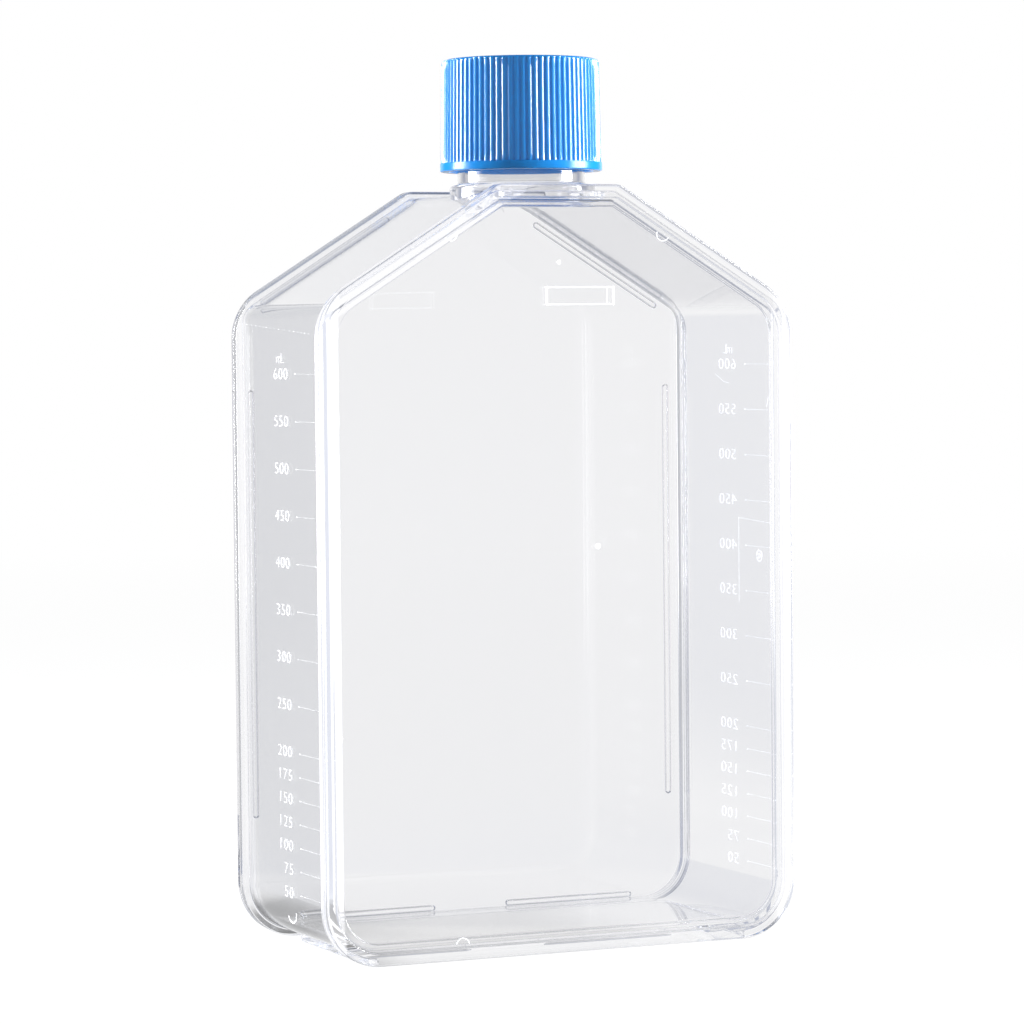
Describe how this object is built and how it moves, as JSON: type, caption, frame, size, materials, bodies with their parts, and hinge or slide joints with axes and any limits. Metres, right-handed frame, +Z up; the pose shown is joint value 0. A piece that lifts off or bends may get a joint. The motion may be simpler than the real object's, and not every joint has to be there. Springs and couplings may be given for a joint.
{
  "type": "cell culture flask",
  "caption": "Clear rectangular cell culture flask standing on its end, with sloping shoulders, a short neck and a ribbed blue screw cap.",
  "frame": {"origin": "on the standing surface, under the middle of the flask's outline box", "axes": "+Z up along the neck, +X across the flask's width, -Y out of the stepped front panel, +Y out of the growth plate"},
  "size_m": [0.112, 0.0546, 0.1942],
  "materials": {
    "clear_polystyrene": "clear, glossy moulding",
    "blue_cap_plastic": "semi-gloss moulding"
  },
  "bodies": {
    "flask": {"flask_body": "clear_polystyrene", "growth_plate": "clear_polystyrene"},
    "cap": {"screw_cap": "blue_cap_plastic"}
  },
  "joints": [
    {"name": "cap_lift", "type": "slide", "parent": "flask", "child": "cap", "axis": [0, 0, 1], "range_m": [0, 0.03]}
  ]
}
